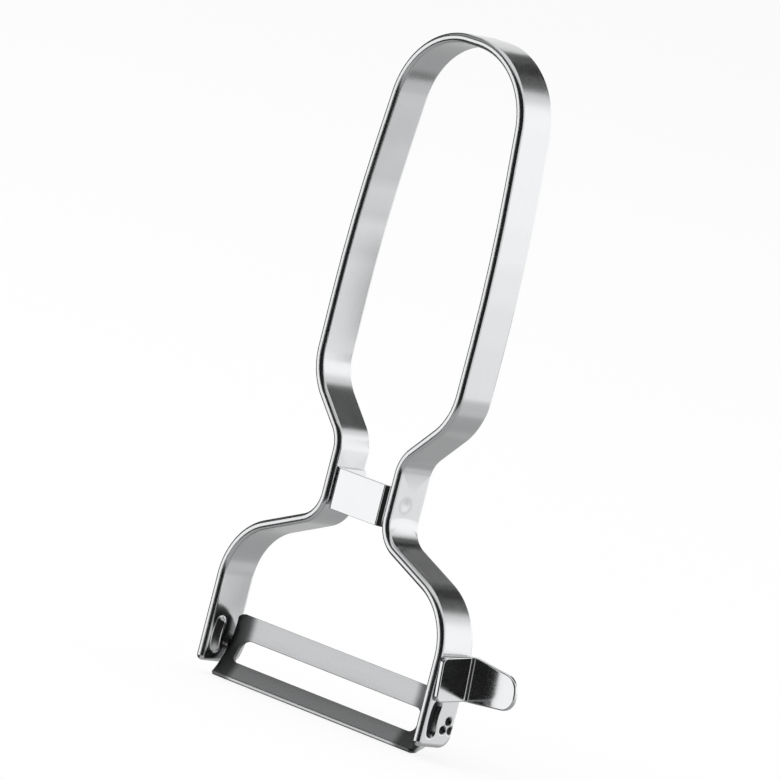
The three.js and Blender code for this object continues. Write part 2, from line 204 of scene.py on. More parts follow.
def pressed_blank(name, loops, thickness, patches=(), press=None, shade_and_scorch=None):
    """A flat blank as a closed mesh: each loop is (points, edge rounding), the outline first.

    Outlines run anticlockwise and holes clockwise. Patches (a0, a1, b0, b1, step) get a fine grid,
    which press then moves along the sheet's normal. The last argument says how dark each spot is
    painted: painted shade, and a scorch where there is one.
    """
    places, faces, rims, tops, bottoms = [], [], [], [], []
    half = thickness / 2
    for points, rounding in loops:
        steps = WIDE_ROWS if rounding > WIDE_ROUNDING else NARROW_ROWS
        bow = [math.pi / 2 * (1 - k / steps) for k in range(steps + 1)]
        profile = [(rounding + FLAT_ROW, half)]
        for t in bow:
            profile.append((rounding * (1 - math.cos(t)), half - rounding * (1 - math.sin(t))))
        profile += [(inset, -level) for inset, level in reversed(profile)]
        ahead = np.roll(points, -1, axis=0) - points
        ahead /= np.linalg.norm(ahead, axis=1)[:, None]
        way = ahead + np.roll(ahead, 1, axis=0)
        way /= np.linalg.norm(way, axis=1)[:, None]
        outwards = np.stack((way[:, 1], -way[:, 0]), axis=1)
        first, count = len(places), len(points)
        for inset, level in profile:
            places.extend((*spot, level) for spot in points - outwards * inset)
        for j in range(len(profile) - 1):
            row, below = first + j * count, first + (j + 1) * count
            for i in range(count):
                k = (i + 1) % count
                faces.append((row + i, below + i, below + k, row + k))
        rims.append(points - outwards * (rounding + FLAT_ROW))
        tops.extend(range(first, first + count))
        bottoms.extend(range(first + (len(profile) - 1) * count, first + len(profile) * count))

    # The spots of the grids, away from the rims.
    edge = np.concatenate(rims)
    inner = [np.zeros((0, 2))]
    for a0, a1, b0, b1, step in patches:
        grid_a = np.linspace(a0, a1, max(2, round((a1 - a0) / step) + 1))
        grid_b = np.linspace(b0, b1, max(2, round((b1 - b0) / step) + 1))
        grid = np.stack(np.meshgrid(grid_a, grid_b, indexing="ij"), axis=-1).reshape(-1, 2)
        grid = grid[inside_of(grid, rims)]
        near = np.array([np.min(np.sum((edge - spot) ** 2, axis=1)) for spot in grid])
        inner.append(grid[near > (RIM_CLEARANCE * step) ** 2])
    inner = np.concatenate(inner)
    first = len(places)
    places.extend((*spot, half) for spot in inner)
    places.extend((*spot, -half) for spot in inner)
    tops.extend(range(first, first + len(inner)))
    bottoms.extend(range(first + len(inner), first + 2 * len(inner)))

    # Both sides of the sheet, in triangles. They are worked out in millimetres, rounded as the
    # triangulation rounds them.
    lines, start = [], 0
    for rim in rims:
        lines.extend((start + i, start + (i + 1) % len(rim)) for i in range(len(rim)))
        start += len(rim)
    flat = np.float32(np.concatenate((edge, inner)) / MM).astype(float)
    rings = np.split(flat[:len(edge)], np.cumsum([len(rim) for rim in rims])[:-1])
    _, _, cells, sources, _, _ = delaunay_2d_cdt(
        [Vector(spot) for spot in flat], lines, [], 0, SAME_SPOT)
    cells = np.array([[sources[i][0] for i in cell] for cell in cells])
    cells = cells[inside_of(flat[cells].mean(axis=1), rings)]
    a, b, c = flat[cells[:, 0]], flat[cells[:, 1]], flat[cells[:, 2]]
    area = (b[:, 0] - a[:, 0]) * (c[:, 1] - a[:, 1]) - (b[:, 1] - a[:, 1]) * (c[:, 0] - a[:, 0])
    cells[area < 0] = cells[area < 0][:, ::-1]
    faces.extend(tuple(tops[i] for i in cell) for cell in cells)
    faces.extend(tuple(bottoms[i] for i in reversed(cell)) for cell in cells)

    places = np.array(places)
    flat_map = places[:, :2].copy()
    darkness = shade_and_scorch(*places.T) if shade_and_scorch else np.zeros(len(places))
    if press:
        places[:, 2] = press(*places.T)
    mesh = bpy.data.meshes.new(name)
    mesh.from_pydata(places.tolist(), [], faces)
    mesh.attributes.new("shade_and_scorch", "FLOAT", "POINT").data.foreach_set("value", darkness)
    corner_vertices = np.zeros(len(mesh.loops), np.int32)
    mesh.loops.foreach_get("vertex_index", corner_vertices)
    mesh.uv_layers.new(name="flat").data.foreach_set("uv", flat_map[corner_vertices].ravel())
    mesh.shade_smooth()
    return mesh


def add_node(tree, kind, inputs=None, **settings):
    """A new node with its settings; each input is a value or the socket that feeds it."""
    node = tree.nodes.new(kind)
    for key, value in settings.items():
        setattr(node, key, value)
    for socket, value in (inputs or {}).items():
        if isinstance(value, bpy.types.NodeSocket):
            tree.links.new(value, node.inputs[socket])
        else:
            node.inputs[socket].default_value = value
    return node


# Bends a flat blank round a line: its length follows the line, its width lies across it.
bending = bpy.data.node_groups.new("bend round a line", "GeometryNodeTree")
bending.interface.new_socket("Blank", in_out="INPUT", socket_type="NodeSocketGeometry")
bending.interface.new_socket("Line", in_out="INPUT", socket_type="NodeSocketObject")
bending.interface.new_socket("Across", in_out="INPUT", socket_type="NodeSocketVector")
bending.interface.new_socket("Steel", in_out="INPUT", socket_type="NodeSocketMaterial")
bending.interface.new_socket("Bent", in_out="OUTPUT", socket_type="NodeSocketGeometry")
given = add_node(bending, "NodeGroupInput")
line = add_node(bending, "GeometryNodeObjectInfo", {"Object": given.outputs["Line"]})
place = add_node(bending, "GeometryNodeInputPosition")
parts = add_node(bending, "ShaderNodeSeparateXYZ", {0: place.outputs[0]})
on_line = add_node(bending, "GeometryNodeSampleCurve", mode="LENGTH")
bending.links.new(line.outputs["Geometry"], on_line.inputs["Curves"])
bending.links.new(parts.outputs["X"], on_line.inputs["Length"])
face = add_node(bending, "ShaderNodeVectorMath", {
    0: on_line.outputs["Tangent"], 1: given.outputs["Across"]}, operation="CROSS_PRODUCT")
lift = add_node(bending, "ShaderNodeVectorMath", {
    0: face.outputs[0], "Scale": parts.outputs["Z"]}, operation="SCALE")
shift = add_node(bending, "ShaderNodeVectorMath", {
    0: given.outputs["Across"], "Scale": parts.outputs["Y"]}, operation="SCALE")
moved = add_node(bending, "ShaderNodeVectorMath", {0: lift.outputs[0], 1: shift.outputs[0]})
landed = add_node(bending, "ShaderNodeVectorMath", {
    0: on_line.outputs["Position"], 1: moved.outputs[0]})
bent = add_node(bending, "GeometryNodeSetPosition", {
    "Geometry": given.outputs["Blank"], "Position": landed.outputs[0]})
whole = add_node(bending, "GeometryNodeRealizeInstances", {"Geometry": bent.outputs[0]})
steeled = add_node(bending, "GeometryNodeSetMaterial", {
    "Geometry": whole.outputs[0], "Material": given.outputs["Steel"]})
add_node(bending, "NodeGroupOutput", {"Bent": steeled.outputs[0]})


def bent_mesh(blank, points, across, steel):
    """The blank's mesh after it is bent round a line of points."""
    curve = bpy.data.curves.new("line", "CURVE")
    curve.dimensions = "3D"
    spline = curve.splines.new("POLY")
    spline.points.add(len(points) - 1)
    spline.points.foreach_set("co", np.c_[points, np.ones(len(points))].ravel())
    line_object = bpy.data.objects.new("line", curve)
    flat = bpy.data.objects.new("blank", blank)
    for obj in (line_object, flat):
        bpy.context.scene.collection.objects.link(obj)
    modifier = flat.modifiers.new("bend", "NODES")
    modifier.node_group = bending
    values = {"Line": line_object, "Across": across, "Steel": steel}
    for item in bending.interface.items_tree:
        if item.name in values:
            modifier[item.identifier] = values[item.name]
    graph = bpy.context.evaluated_depsgraph_get()
    mesh = bpy.data.meshes.new_from_object(
        flat.evaluated_get(graph), preserve_all_data_layers=True, depsgraph=graph)
    flat.modifiers.remove(modifier)
    for obj in (line_object, flat):
        bpy.data.objects.remove(obj)
    return mesh


def linear(colour):
    """An sRGB hex colour as linear RGBA."""
    parts = [int(colour[i:i + 2], 16) / 255 for i in (1, 3, 5)]
    return (*((c / 12.92 if c <= 0.04045 else ((c + 0.055) / 1.055) ** 2.4) for c in parts), 1.0)


def steel_of(name, colours, roughness, grain_width, grain_length, grain_depth):
    """Steel with a grain along the sheet, a faint bloom between two colours, and painted shade and
    scorch.
    """
    material = bpy.data.materials.new(name)
    material.use_nodes = True
    tree = material.node_tree
    shader = tree.nodes["Principled BSDF"]
    shader.inputs["Metallic"].default_value = 1.0
    flat_map = add_node(tree, "ShaderNodeUVMap", uv_map="flat")
    along = add_node(tree, "ShaderNodeMapping", {
        "Vector": flat_map.outputs[0], "Scale": (1 / grain_length, 1 / grain_width, 1)})
    grain = add_node(tree, "ShaderNodeTexNoise", {
        "Vector": along.outputs[0], "Scale": 1.0, "Detail": GRAIN_DETAIL}, noise_dimensions="2D")
    solid = add_node(tree, "ShaderNodeTexCoord")
    cloud = add_node(tree, "ShaderNodeTexNoise", {
        "Vector": solid.outputs["Object"], "Scale": 1 / BLOOM_SIZE, "Detail": BLOOM_DETAIL})
    both = add_node(tree, "ShaderNodeMath", {0: grain.outputs[0], 1: cloud.outputs[0]})
    rough = add_node(tree, "ShaderNodeMapRange", {
        "Value": both.outputs[0], "From Min": PATTERN_LOW, "From Max": PATTERN_HIGH,
        "To Min": roughness * SMOOTHEST, "To Max": roughness * ROUGHEST})
    # The mesh's painted shade, and the scorch round the welds, darken and roughen the steel here.
    shade_and_scorch = add_node(tree, "ShaderNodeAttribute", attribute_name="shade_and_scorch")
    rougher = add_node(tree, "ShaderNodeMath", {
        0: shade_and_scorch.outputs["Fac"], 1: SHADE_AND_SCORCH_ROUGHNESS, 2: rough.outputs[0]}, operation="MULTIPLY_ADD")
    tree.links.new(rougher.outputs[0], shader.inputs["Roughness"])
    tint = add_node(tree, "ShaderNodeMix", {
        0: cloud.outputs[0], 6: linear(colours[0]), 7: linear(colours[1])}, data_type="RGBA")
    shaded_and_scorched = add_node(tree, "ShaderNodeMix", {
        0: shade_and_scorch.outputs["Fac"], 6: tint.outputs[2], 7: linear(SHADE_AND_SCORCH_COLOUR)}, data_type="RGBA")
    tree.links.new(shaded_and_scorched.outputs[2], shader.inputs["Base Color"])
    bump = add_node(tree, "ShaderNodeBump", {
        "Height": grain.outputs[0], "Strength": GRAIN_STRENGTH, "Distance": grain_depth})
    tree.links.new(bump.outputs[0], shader.inputs["Normal"])
    return material


def eased(share):
    """0 to 1 with a soft start and end."""
    share = np.clip(share, 0, 1)
    return share * share * (3 - 2 * share)


half_line = rounded(
    [(0.0, TOP_HEIGHT, 0.0), *SIDE_BENDS, (LEG_MIDDLE, 0.0, 0.0)],
    closed=False, arc_step=STRIP_TURN)
left_line = half_line[:0:-1] * (-1, 1)
handle_line = divided(np.concatenate((left_line, half_line)), STRIP_STEP, closed=False)
handle_marks = marks_of(handle_line)
strip_length = handle_marks[-1]
on_left = handle_line[:, 0] < 0
weld_mark = np.interp(WELD_HEIGHT, handle_line[on_left, 1], handle_marks[on_left])


def stop_share(height, y, core, brim):
    """How far a spot near a leg's end is pressed: 1 on the stop's ridge, 0 outside its brim."""
    middle_y = PIVOT_Y - STOP_FORWARD + STOP_CURVE
    middle_height = PIVOT_HEIGHT + STOP_RISE
    sweep = (STOP_LENGTH - STOP_WIDTH) / 2 / STOP_CURVE
    angle = np.clip(np.arctan2(height - middle_height, middle_y - y), -sweep, sweep)
    ridge_y = middle_y - STOP_CURVE * np.cos(angle)
    ridge_height = middle_height + STOP_CURVE * np.sin(angle)
    away = np.hypot(y - ridge_y, height - ridge_height)
    return eased((brim - away) / (brim - core))


def stake_depth(height, y):
    """Depth of the three round punch marks at a spot of the leg's outside."""
    ball = (STAKE_WIDTH ** 2 / 4 + STAKE_DEPTH ** 2) / (2 * STAKE_DEPTH)
    depth = np.zeros_like(height)
    for i in range(STAKE_COUNT):
        angle = math.pi / 2 + 2 * math.pi * i / STAKE_COUNT
        away = np.hypot(
            y - PIVOT_Y - STAKE_CIRCLE / 2 * math.cos(angle),
            height - PIVOT_HEIGHT - STAKE_CIRCLE / 2 * math.sin(angle))
        cap = np.sqrt(np.maximum(ball ** 2 - away ** 2, 0)) - ball + STAKE_DEPTH
        depth = np.maximum(depth, cap)
    return depth


def stake_shade(depth):
    """How dark a punch mark is painted at a depth, as painted shade: fully from half its own depth
    on.
    """
    return np.clip(2 * depth / STAKE_DEPTH, 0, 1)


def press_strip(along, y, level):
    """The strip's level after the stops, the punch marks and the weld dimples."""
    height = np.minimum(along, strip_length - along)
    recess = STOP_RECESS * stop_share(height, y, RECESS_CORE, RECESS_BRIM)
    bump = STOP_HEIGHT * stop_share(height, y, BUMP_CORE, BUMP_BRIM)
    from_weld = np.hypot(height - weld_mark, y - WELD_Y)
    dimple = WELD_DEPTH * eased((WELD_RADIUS - from_weld) / WELD_RADIUS)
    outside = level - recess - stake_depth(height, y) - dimple
    share = level / STRIP_THICKNESS + 0.5
    return share * (outside - level) + (1 - share) * -bump + level


def strip_shade_and_scorch(along, y, level):
    """Painted shade in the strip's outside, in the stop's recess and the punch marks, and a scorch
    round the weld dimples.
    """
    height = np.minimum(along, strip_length - along)
    # The stop's recess and the punch marks get painted shade; the ring round the weld dimple is a
    # scorch.
    in_recess = stop_share(height, y, RECESS_CORE, RECESS_BRIM)
    in_marks = stake_shade(stake_depth(height, y))
    from_weld = np.hypot(height - weld_mark, y - WELD_Y)
    scorched = WELD_SCORCH * np.exp(-((from_weld - WELD_RADIUS) / WELD_RING) ** 2)
    return np.maximum(np.maximum(in_recess, in_marks), scorched) * (level > 0)


half_width = STRIP_WIDTH / 2
strip_outline = rounded([
    (0.0, -half_width, LEG_END_FRONT),
    (strip_length, -half_width, LEG_END_FRONT),
    (strip_length, half_width, LEG_END_BACK),
    (0.0, half_width, LEG_END_BACK),
])
fine_columns = np.arange(LEG_END_FRONT, PRESSED_LENGTH, FINE_STEP)
plain = (handle_marks > PRESSED_LENGTH) & (handle_marks < strip_length - PRESSED_LENGTH)
strip_columns = np.concatenate((fine_columns, handle_marks[plain], strip_length - fine_columns))
strip_loops = [(divided(strip_outline, FINE_STEP, strip_columns), RIM_ROUNDING)]
for middle in (PIVOT_HEIGHT, strip_length - PIVOT_HEIGHT):
    strip_loops.append((hole(middle, PIVOT_Y, PIN_RADIUS + PRESS_FIT), HOLE_EDGE))
strip_patches = []
for start in (0.0, strip_length - PRESSED_LENGTH):
    strip_patches.append((start, start + PRESSED_LENGTH, -half_width, half_width, FINE_STEP))
for middle in (weld_mark, strip_length - weld_mark):
    strip_patches.append((
        middle - WELD_REACH, middle + WELD_REACH,
        WELD_Y - WELD_REACH, WELD_Y + WELD_REACH, FINE_STEP))
# Stainless strip with a satin polish: it mirrors the room in bands with soft edges, under faint
# lines that run lengthwise. The real lines are a few hundredths of a millimetre wide; they are
# drawn coarser, at 0.12 mm, to show at all.
strip_steel = steel_of(
    "stainless strip, satin polished", ("#C9CACB", "#D0D1D2"), roughness=0.2,
    grain_width=0.12 * MM, grain_length=20 * MM, grain_depth=0.001 * MM)
strip_path = np.stack((
    handle_line[:, 0], np.zeros(len(handle_line)), handle_line[:, 1] + LEG_ENDS), axis=1)
strip_blank = pressed_blank(
    "strip_blank", strip_loops, STRIP_THICKNESS, strip_patches, press_strip, strip_shade_and_scorch)
strip_mesh = bent_mesh(strip_blank, strip_path, (0, 1, 0), strip_steel)
strip = bpy.data.objects.new("bent_handle_strip", strip_mesh)
bpy.context.scene.collection.objects.link(strip)
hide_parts("handle_strip")
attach(strip, "frame")

# Waist bridge
# A channel bent from bright rolled sheet: a front plate and two flanges, spot welded to the strip
# at the waist. Its bends are round, and its cut edges are sharp.
BRIDGE_THICKNESS = 1 * MM
BRIDGE_HEIGHT = 8 * MM
BRIDGE_CENTRE_HEIGHT = 40.6 * MM
BRIDGE_BEND = 1.3 * MM
BRIDGE_FRONT = -4.3 * MM
BRIDGE_BACK = 3.6 * MM
BRIDGE_CORNER = 0.5 * MM
BRIDGE_LINE_STEP = 1 * MM
BRIDGE_STEP = 0.5 * MM
WELD_GAP = 0.1 * MM
CUT_EDGE = 0.08 * MM
bridge_side = WAIST_MIDDLE - STRIP_THICKNESS / 2 - WELD_GAP - BRIDGE_THICKNESS / 2
bridge_plate = BRIDGE_FRONT + BRIDGE_THICKNESS / 2
bridge_line = rounded([
    (-bridge_side, BRIDGE_BACK, 0.0),
    (-bridge_side, bridge_plate, BRIDGE_BEND),
    (bridge_side, bridge_plate, BRIDGE_BEND),
    (bridge_side, BRIDGE_BACK, 0.0),
], closed=False, arc_step=3)
bridge_line = divided(bridge_line, BRIDGE_LINE_STEP, closed=False)
bridge_marks = marks_of(bridge_line)
bridge_length = bridge_marks[-1]
bridge_outline = rounded([
    (0.0, -BRIDGE_HEIGHT / 2, BRIDGE_CORNER),
    (bridge_length, -BRIDGE_HEIGHT / 2, BRIDGE_CORNER),
    (bridge_length, BRIDGE_HEIGHT / 2, BRIDGE_CORNER),
    (0.0, BRIDGE_HEIGHT / 2, BRIDGE_CORNER),
], arc_step=15)
bridge_loops = [(divided(bridge_outline, BRIDGE_STEP, bridge_marks), CUT_EDGE)]
# Stainless sheet as it leaves bright rolls: paler and clearer than the strip, with hardly a line in
# it. The roll lines are drawn coarser than real, at 0.2 mm.
bridge_steel = steel_of(
    "stainless sheet, bright rolled", ("#D0D1D2", "#D6D7D8"), roughness=0.1,
    grain_width=0.2 * MM, grain_length=10 * MM, grain_depth=0.001 * MM)
bridge_level = LEG_ENDS + BRIDGE_CENTRE_HEIGHT
bridge_path = np.c_[bridge_line, np.full(len(bridge_line), bridge_level)]
bridge_blank = pressed_blank("bridge_blank", bridge_loops, BRIDGE_THICKNESS)
bridge_mesh = bent_mesh(bridge_blank, bridge_path, (0, 0, 1), bridge_steel)
bridge = bpy.data.objects.new("waist_bridge_channel", bridge_mesh)
bpy.context.scene.collection.objects.link(bridge)
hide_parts("waist_bridge")
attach(bridge, "frame")

# Eye remover
# An angle of mirror-polished sheet on the outside of the right leg: a plate that is spot welded on,
# and a round-tipped tongue that stands out square to it. The whole angle is set on a little askew.
EYE_THICKNESS = 1 * MM
EYE_HEIGHT = 8.8 * MM
EYE_CENTRE_HEIGHT = 13.7 * MM
EYE_FRONT = -4 * MM
EYE_TONGUE = 4 * MM
EYE_BEND = 0.9 * MM
EYE_REACH = 11 * MM
EYE_ROOT_ROUNDING = 12 * MM
EYE_TIP_ROUNDING = 3.1 * MM
EYE_TIP_HALF = 3.2 * MM
EYE_CORNER = 1.3 * MM
EYE_EDGE = 0.3 * MM
EYE_TILT = math.radians(5.5)
EYE_LINE_STEP = 0.5 * MM
EYE_STEP = 0.4 * MM
eye_plate = LEG_OUTSIDE + WELD_GAP + EYE_THICKNESS / 2
eye_tongue = EYE_TONGUE + EYE_THICKNESS / 2
eye_tip = eye_plate + EYE_THICKNESS / 2 + EYE_BEND + EYE_REACH
eye_bend = EYE_BEND + EYE_THICKNESS / 2
eye_line = rounded([
    (eye_plate, EYE_FRONT, 0.0),
    (eye_plate, eye_tongue, eye_bend),
    (eye_tip, eye_tongue, 0.0),
], closed=False, arc_step=3)
eye_line = divided(eye_line, EYE_LINE_STEP, closed=False)
eye_marks = marks_of(eye_line)
eye_length = eye_marks[-1]
eye_root = eye_length - EYE_REACH
eye_outline = rounded([
    (0.0, -EYE_HEIGHT / 2, EYE_CORNER),
    (eye_root, -EYE_HEIGHT / 2, EYE_ROOT_ROUNDING),
    (eye_length, -EYE_TIP_HALF, EYE_TIP_ROUNDING),
    (eye_length, EYE_TIP_HALF, EYE_TIP_ROUNDING),
    (eye_root, EYE_HEIGHT / 2, EYE_ROOT_ROUNDING),
    (0.0, EYE_HEIGHT / 2, EYE_CORNER),
])
eye_loops = [(divided(eye_outline, EYE_STEP, eye_marks), EYE_EDGE)]
# Stainless sheet polished to a mirror: deep black and clear white beside each other. The polish
# marks are drawn coarser than real, at 0.3 mm, and half as deep as the strip's lines.
eye_steel = steel_of(
    "stainless sheet, mirror polished", ("#CECFD0", "#D3D4D5"), roughness=0.13,
    grain_width=0.3 * MM, grain_length=6 * MM, grain_depth=0.0005 * MM)
eye_path = np.c_[eye_line, np.zeros(len(eye_line))]
eye_blank = pressed_blank("eye_blank", eye_loops, EYE_THICKNESS)
eye_mesh = bent_mesh(eye_blank, eye_path, (0, 0, 1), eye_steel)
eye_place = Matrix.Translation((0, 0, LEG_ENDS + EYE_CENTRE_HEIGHT))
eye_mesh.transform(eye_place @ Matrix.Rotation(EYE_TILT, 4, "X"))
eye = bpy.data.objects.new("eye_remover_angle", eye_mesh)
bpy.context.scene.collection.objects.link(eye)
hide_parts("eye_remover")
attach(eye, "frame")

# Pivot pins
# Two turned pins: a tenon that the blade's ear turns on, a collar that keeps the ear off the leg,
# and a shank pressed into the leg and staked flush with its outside by the three punch marks.
COLLAR_RADIUS = 1.6 * MM
EAR_INSIDE = 27.25 * MM
EAR_OUTSIDE = 28.05 * MM
PIN_PROUD = 0.35 * MM
PIN_CHAMFER = 0.3 * MM
PIN_TIP_RING = 0.45 * MM
COLLAR_CLEARANCE = 0.2 * MM
TURNED_SIDES = 48
STAKED_RINGS = 13
SHARP_ANGLE = math.radians(30)
# Turned stainless bar: greyer than the polished sheet, with tool marks that break up the gloss. The
# marks are drawn coarser than real, at 0.06 mm.
pin_steel = steel_of(
    "stainless bar, turned", ("#B6B7B8", "#BFC0C1"), roughness=0.22,
    grain_width=0.06 * MM, grain_length=3 * MM, grain_depth=0.001 * MM)
pin_tip = EAR_INSIDE - PIN_PROUD
collar_near, collar_far = EAR_OUTSIDE + COLLAR_CLEARANCE, LEG_INSIDE - PRESS_FIT
# The turned outline, from the tip to the staked end: distance along the pivot, and radius.
pin_profile = [
    (pin_tip, 0.0),
    (pin_tip, PIN_TIP_RING),
    (pin_tip, PIN_RADIUS - PIN_CHAMFER),
    (pin_tip + PIN_CHAMFER, PIN_RADIUS),
    (collar_near, PIN_RADIUS),
    (collar_near, COLLAR_RADIUS - CUT_EDGE),
    (collar_near + CUT_EDGE, COLLAR_RADIUS),
    (collar_far - CUT_EDGE, COLLAR_RADIUS),
    (collar_far, COLLAR_RADIUS - CUT_EDGE),
    (collar_far, PIN_RADIUS),
]
pin_profile += [(LEG_OUTSIDE, radius) for radius in np.linspace(PIN_RADIUS, 0.0, STAKED_RINGS)]
for side, name in ((-1, "left"), (1, "right")):
    spots, faces, rows = [], [], []
    for along, radius in pin_profile:
        sides = TURNED_SIDES if radius > 0 else 1
        rows.append(range(len(spots), len(spots) + sides))
        for k in range(sides):
            turn = 2 * math.pi * k / TURNED_SIDES
            y, height = radius * math.cos(turn), radius * math.sin(turn)
            spots.append((along, y + PIVOT_Y, height + PIVOT_HEIGHT))
    for near, far in zip(rows, rows[1:]):
        for k in range(TURNED_SIDES):
            after = (k + 1) % TURNED_SIDES
            corners = (near[k % len(near)], far[k % len(far)],
                       far[after % len(far)], near[after % len(near)])
            corners = list(dict.fromkeys(corners))
            faces.append(corners[::-1] if side > 0 else corners)
    spots = np.array(spots)
    at_end = spots[:, 0] > LEG_OUTSIDE - FINE_STEP / 10
    pressed = np.where(at_end, stake_depth(spots[:, 2], spots[:, 1]), 0.0)
    spots[:, 0] -= pressed
    spots[:, 0] *= side
    spots[:, 2] += LEG_ENDS
    pin_mesh = bpy.data.meshes.new(name)
    pin_mesh.from_pydata(spots.tolist(), [], faces)
    # Painted shade in the punch marks on the pin's staked end.
    darkness = stake_shade(pressed)
    pin_mesh.attributes.new("shade_and_scorch", "FLOAT", "POINT").data.foreach_set("value", darkness)
    corner_spots = spots[[corner.vertex_index for corner in pin_mesh.loops]]
    pin_mesh.uv_layers.new(name="flat").data.foreach_set("uv", corner_spots[:, [1, 0]].ravel())
    pin_mesh.shade_smooth()
    pin_mesh.set_sharp_from_angle(angle=SHARP_ANGLE)
    pin_mesh.materials.append(pin_steel)
    pin = bpy.data.objects.new("staked_pin_" + name, pin_mesh)
    bpy.context.scene.collection.objects.link(pin)
    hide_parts("pivot_pin_" + name)
    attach(pin, "frame")

# Swivel blade
# One stamping of hardened stainless: a front bar with the ground cutting edge, a back bar, and the
# slot between them for the peel. It is hollow to the front, and its ends are bent back into ears.
BLADE_THICKNESS = 0.8 * MM
BLADE_WIDTH = 13.1 * MM
BLADE_ARCH = 1.25 * MM
BLADE_LEAN = math.radians(17)
BLADE_EDGE_TO_PIVOT = 7.3 * MM
BLADE_TO_PIVOT = 1.55 * MM
EDGE_BEVEL = 0.5 * MM
EDGE_LAND = 0.3 * MM
FRONT_BAR = 3.8 * MM
BACK_BAR = 4.45 * MM
SLOT_LEFT = 24.75 * MM
SLOT_RIGHT = 25.4 * MM
SLOT_FRONT_ROUNDING = 1.3 * MM
SLOT_BACK_ROUNDING = 2.2 * MM
BAR_CORNER = 1 * MM
BAR_PAST_EAR = 0.2 * MM
BACK_BAR_CORNER = 2.8 * MM
BACK_BAR_SETBACK = 1.6 * MM
EAR_BEND = 0.8 * MM
EAR_RADIUS = 2.2 * MM
EAR_ROUNDING = 2.1 * MM
EAR_LENGTH = 8 * MM
EAR_CLEARANCE = 0.1 * MM
# Painted shade before the ears: how dark, how far from the ears it reaches, and its fade.
EAR_SHADE = 0.75
EAR_SHADE_REACH = 6 * MM
EAR_SHADE_FADE = 2.5 * MM
BLADE_LINE_STEP = 0.5 * MM
BLADE_STEP = 0.4 * MM
ear_plate = (EAR_INSIDE + EAR_OUTSIDE) / 2
arch_radius = (BLADE_WIDTH ** 2 / 4 + BLADE_ARCH ** 2) / (2 * BLADE_ARCH)


def arch(chord):
    """How far back the blade's middle surface lies from the pivot, across the blade."""
    rise = np.sqrt(arch_radius ** 2 - (chord - BLADE_WIDTH / 2) ** 2)
    return rise - arch_radius - BLADE_TO_PIVOT


blade_line = rounded([
    (-ear_plate, EAR_LENGTH, 0.0),
    (-ear_plate, 0.0, EAR_BEND),
    (ear_plate, 0.0, EAR_BEND),
    (ear_plate, EAR_LENGTH, 0.0),
], closed=False, arc_step=4)
blade_line = divided(blade_line, BLADE_LINE_STEP, closed=False)
blade_marks = marks_of(blade_line)
blade_length = blade_marks[-1]
blade_middle = blade_length / 2
ear_start = ear_plate - EAR_BEND + math.pi / 2 * EAR_BEND
pivot_along = ear_start - EAR_BEND - float(arch(BLADE_EDGE_TO_PIVOT))
ear_back = pivot_along + EAR_RADIUS
bar_end = ear_plate + BAR_PAST_EAR
right_end = [
    (bar_end, 0.0, BAR_CORNER),
    (ear_back, BLADE_EDGE_TO_PIVOT - EAR_RADIUS, EAR_ROUNDING),
    (ear_back, BLADE_EDGE_TO_PIVOT + EAR_RADIUS, EAR_ROUNDING),
    (bar_end - BACK_BAR_SETBACK, BLADE_WIDTH, BACK_BAR_CORNER),
]
left_end = [(-along, chord, radius) for along, chord, radius in reversed(right_end)]
blade_outline = rounded(right_end + left_end)
slot_low, slot_high = FRONT_BAR, BLADE_WIDTH - BACK_BAR
slot_outline = rounded([
    (-SLOT_LEFT, slot_low, SLOT_FRONT_ROUNDING),
    (-SLOT_LEFT, slot_high, SLOT_BACK_ROUNDING),
    (SLOT_RIGHT, slot_high, SLOT_BACK_ROUNDING),
    (SLOT_RIGHT, slot_low, SLOT_FRONT_ROUNDING),
])
blade_loops = []
for outline in (blade_outline, slot_outline):
    blade_loops.append((divided(outline + (blade_middle, 0.0), BLADE_STEP, blade_marks), CUT_EDGE))
for side in (-1, 1):
    ear_hole = hole(
        side * pivot_along + blade_middle, BLADE_EDGE_TO_PIVOT, PIN_RADIUS + EAR_CLEARANCE)
    blade_loops.append((ear_hole, CUT_EDGE))


def grind_edge(along, chord, level):
    """The blade's level after the cutting edge is ground on its front face."""
    share = np.clip(chord / EDGE_BEVEL, 0, 1)
    ground = EDGE_LAND - BLADE_THICKNESS / 2 + share * (BLADE_THICKNESS - EDGE_LAND)
    return np.minimum(level, ground)


def ear_shade(along, chord, level):
    """How dark the blade is painted before the bends of its ears: painted shade."""
    from_ear = ear_plate - np.abs(along - blade_middle)
    before_ear = eased((EAR_SHADE_REACH - from_ear) / EAR_SHADE_FADE)
    return EAR_SHADE * before_ear * (1 - eased(-from_ear / EAR_BEND))


# Hardened blade steel with a satin grind: a darker, duller grey than the strip, without clear
# reflections, and painted nearly black before its ears as painted shade. The grinding lines are
# drawn coarser than real, at 0.1 mm.
blade_steel = steel_of(
    "blade steel, hardened and satin ground", ("#ACADAE", "#B3B4B5"), roughness=0.24,
    grain_width=0.1 * MM, grain_length=8 * MM, grain_depth=0.001 * MM)
blade_patches = [(0.0, blade_length, EDGE_BEVEL, BLADE_WIDTH, BLADE_STEP)]
blade_blank = pressed_blank(
    "blade_blank", blade_loops, BLADE_THICKNESS, blade_patches, grind_edge, ear_shade)
blade_path = np.c_[blade_line, np.zeros(len(blade_line))]
blade_mesh = bent_mesh(blade_blank, blade_path, (0, 0, 1), blade_steel)
spots = np.zeros(len(blade_mesh.vertices) * 3)
blade_mesh.vertices.foreach_get("co", spots)
spots = spots.reshape(-1, 3)
spots[:, 1] += arch(np.clip(spots[:, 2], 0, BLADE_WIDTH))
spots[:, 2] -= BLADE_EDGE_TO_PIVOT
blade_mesh.vertices.foreach_set("co", spots.ravel())
pivot = Vector((0, PIVOT_Y, LEG_ENDS + PIVOT_HEIGHT))
